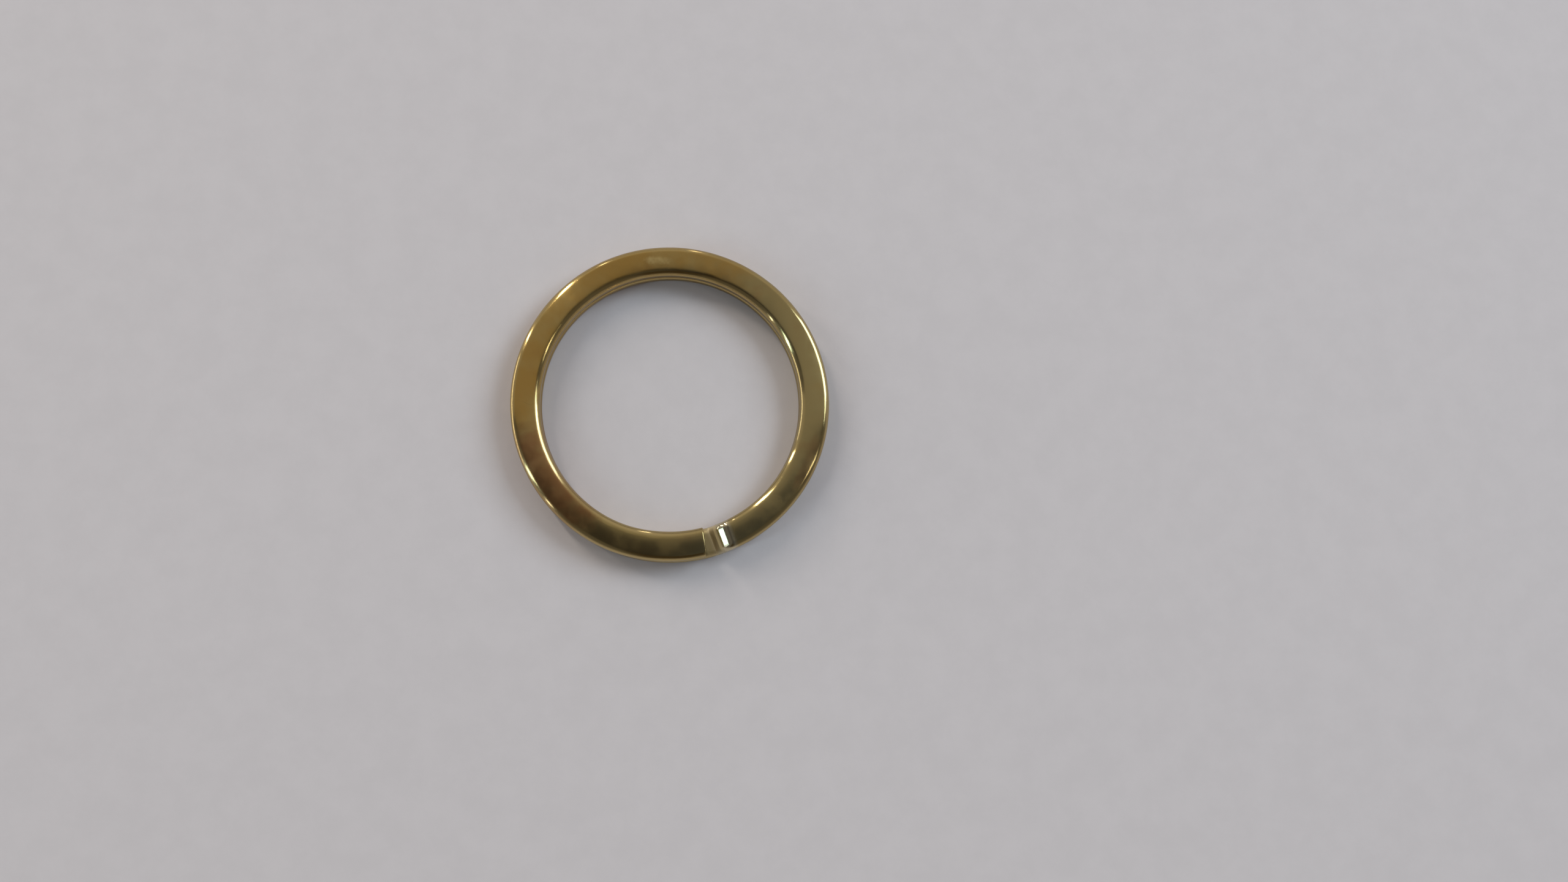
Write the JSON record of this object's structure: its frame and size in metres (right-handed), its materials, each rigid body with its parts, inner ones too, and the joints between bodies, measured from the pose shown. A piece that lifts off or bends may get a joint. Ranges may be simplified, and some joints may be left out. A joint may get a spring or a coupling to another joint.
{
  "type": "flat split ring",
  "caption": "Flat split ring of brass wire with rounded edges, wound two level turns with a pressed joggle, for joining straps, tags or keys to a bag.",
  "frame": {"origin": "middle of the ring on its underside, so the ring lies on z = 0", "axes": "+Z along the ring's axis, from the lower turn to the upper turn; the joggle lies 69 degrees clockwise from +X seen from above"},
  "size_m": [0.035, 0.035, 0.0034],
  "materials": {
    "wire": "satin"
  },
  "bodies": {
    "root": {"split_ring": "wire"}
  },
  "joints": []
}
